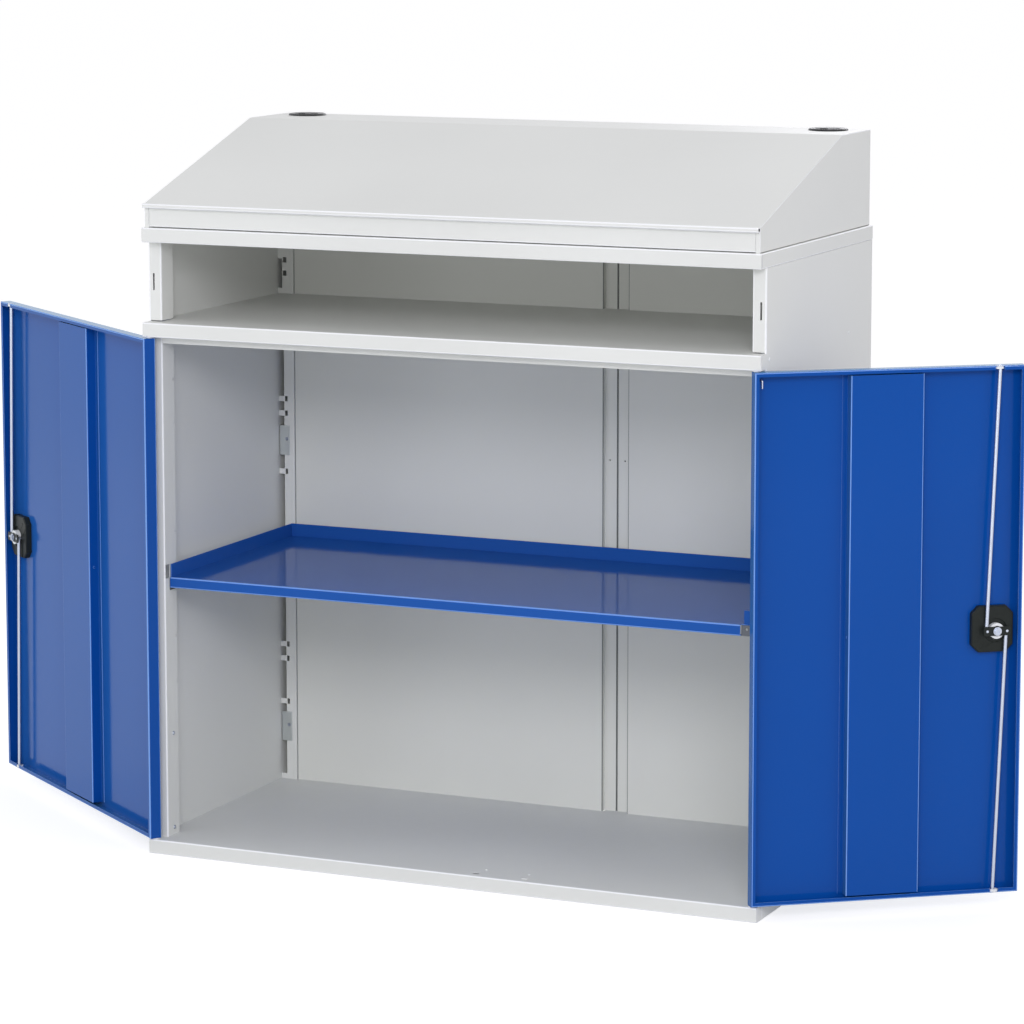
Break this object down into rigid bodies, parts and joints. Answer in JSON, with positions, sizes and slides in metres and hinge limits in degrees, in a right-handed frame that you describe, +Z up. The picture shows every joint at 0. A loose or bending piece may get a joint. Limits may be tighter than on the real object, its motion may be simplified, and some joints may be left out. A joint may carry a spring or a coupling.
{
  "type": "workshop desk cabinet",
  "caption": "Sheet steel workshop cabinet with rod-locked hinged doors of unequal width, an open shelf space and a sloping desk box with cable outlets on top",
  "frame": {"origin": "on the floor, in the middle of the cabinet's footprint (the doors, which stand open, are not counted)", "axes": "+X right as seen from the front, +Y to the back, +Z up"},
  "size_m": [1.8325, 0.5061, 1.1538],
  "materials": {
    "light_grey_paint": "satin powder coat",
    "blue_paint": "satin powder coat",
    "zinc": "zinc plated",
    "dark_plastic": "matt",
    "black_plastic": "satin",
    "white_plastic": "satin"
  },
  "bodies": {
    "cabinet": {"base_channel": "light_grey_paint", "post_plates": "zinc", "base_plate": "light_grey_paint", "side_panel_left": "light_grey_paint", "side_panel_right": "light_grey_paint", "middle_plate": "light_grey_paint", "cap_plate": "light_grey_paint", "back_panel_left": "light_grey_paint", "back_panel_right": "light_grey_paint", "rear_post_left": "light_grey_paint", "rear_post_right": "light_grey_paint", "shelf": "blue_paint", "shelf_clip_front_right": "zinc", "shelf_clips": "zinc", "desk_side_left": "light_grey_paint", "desk_side_right": "light_grey_paint", "desk_front": "light_grey_paint", "desk_cover": "light_grey_paint", "desk_back": "light_grey_paint", "outlet_ring_left": "black_plastic", "outlet_ring_right": "black_plastic", "hinge_bushes": "white_plastic", "panel_rivets": "light_grey_paint", "post_screws": "zinc"},
    "left_door": {"left_door_panel": "blue_paint", "left_door_stiffener": "blue_paint", "left_lock_case": "dark_plastic", "left_lock_ring": "white_plastic", "left_rod_guides": "white_plastic", "left_hinge_pins": "zinc", "left_escutcheon": "dark_plastic"},
    "left_lock": {"left_handle": "black_plastic", "left_cam": "dark_plastic", "left_cam_screw": "zinc", "left_key_cylinder": "zinc"},
    "left_upper_rod_body": {"left_upper_rod": "zinc"},
    "left_lower_rod_body": {"left_lower_rod": "zinc"},
    "outlet_cap_left_body": {"outlet_cap_left": "black_plastic"},
    "right_door": {"right_door_panel": "blue_paint", "right_door_stiffener": "blue_paint", "right_lock_case": "dark_plastic", "right_lock_ring": "white_plastic", "right_rod_guides": "white_plastic", "right_hinge_pins": "zinc", "right_escutcheon": "dark_plastic"},
    "right_lock": {"right_handle": "black_plastic", "right_cam": "dark_plastic", "right_cam_screw": "zinc", "right_key_cylinder": "zinc"},
    "right_upper_rod_body": {"right_upper_rod": "zinc"},
    "right_lower_rod_body": {"right_lower_rod": "zinc"},
    "outlet_cap_right_body": {"outlet_cap_right": "black_plastic"}
  },
  "joints": [
    {"name": "left_door_hinge", "type": "hinge", "parent": "cabinet", "child": "left_door", "pos_m": [-0.506, -0.2425, 0], "axis": [0, 0, 1], "range_deg": [0, 217]},
    {"name": "left_lock_turn", "type": "hinge", "parent": "left_door", "child": "left_lock", "pos_m": [-0.95124, 0.09301, 0.426], "axis": [0.6018, 0.7986, 0], "range_deg": [0, 90]},
    {"name": "left_upper_rod_pivot", "type": "hinge", "parent": "left_lock", "child": "left_upper_rod_body", "pos_m": [-0.96362, 0.10234, 0.426], "axis": [0.6018, 0.7986, 0], "range_deg": [-95, 0]},
    {"name": "left_lower_rod_pivot", "type": "hinge", "parent": "left_lock", "child": "left_lower_rod_body", "pos_m": [-0.93886, 0.08368, 0.426], "axis": [0.6018, 0.7986, 0], "range_deg": [-95, 0]},
    {"name": "outlet_cap_left_turn", "type": "hinge", "parent": "cabinet", "child": "outlet_cap_left_body", "pos_m": [-0.455, 0.206, 1.15], "axis": [0, 0, 1], "range_deg": [-180, 180]},
    {"name": "right_door_hinge", "type": "hinge", "parent": "cabinet", "child": "right_door", "pos_m": [0.506, -0.2425, 0], "axis": [0, 0, -1], "range_deg": [0, 217]},
    {"name": "right_lock_turn", "type": "hinge", "parent": "right_door", "child": "right_lock", "pos_m": [0.80429, -0.01772, 0.426], "axis": [-0.6018, 0.7986, 0], "range_deg": [0, 90]},
    {"name": "right_upper_rod_pivot", "type": "hinge", "parent": "right_lock", "child": "right_upper_rod_body", "pos_m": [0.79191, -0.02705, 0.426], "axis": [-0.6018, 0.7986, 0], "range_deg": [-95, 0]},
    {"name": "right_lower_rod_pivot", "type": "hinge", "parent": "right_lock", "child": "right_lower_rod_body", "pos_m": [0.81667, -0.00839, 0.426], "axis": [-0.6018, 0.7986, 0], "range_deg": [-95, 0]},
    {"name": "outlet_cap_right_turn", "type": "hinge", "parent": "cabinet", "child": "outlet_cap_right_body", "pos_m": [0.455, 0.206, 1.15], "axis": [0, 0, 1], "range_deg": [-180, 180]}
  ],
  "couplings": [
    {"joint": "left_upper_rod_pivot", "follows": "left_lock_turn", "ratio": -1.0246},
    {"joint": "left_lower_rod_pivot", "follows": "left_lock_turn", "ratio": -1.0246},
    {"joint": "right_upper_rod_pivot", "follows": "right_lock_turn", "ratio": -1.0246},
    {"joint": "right_lower_rod_pivot", "follows": "right_lock_turn", "ratio": -1.0246}
  ]
}
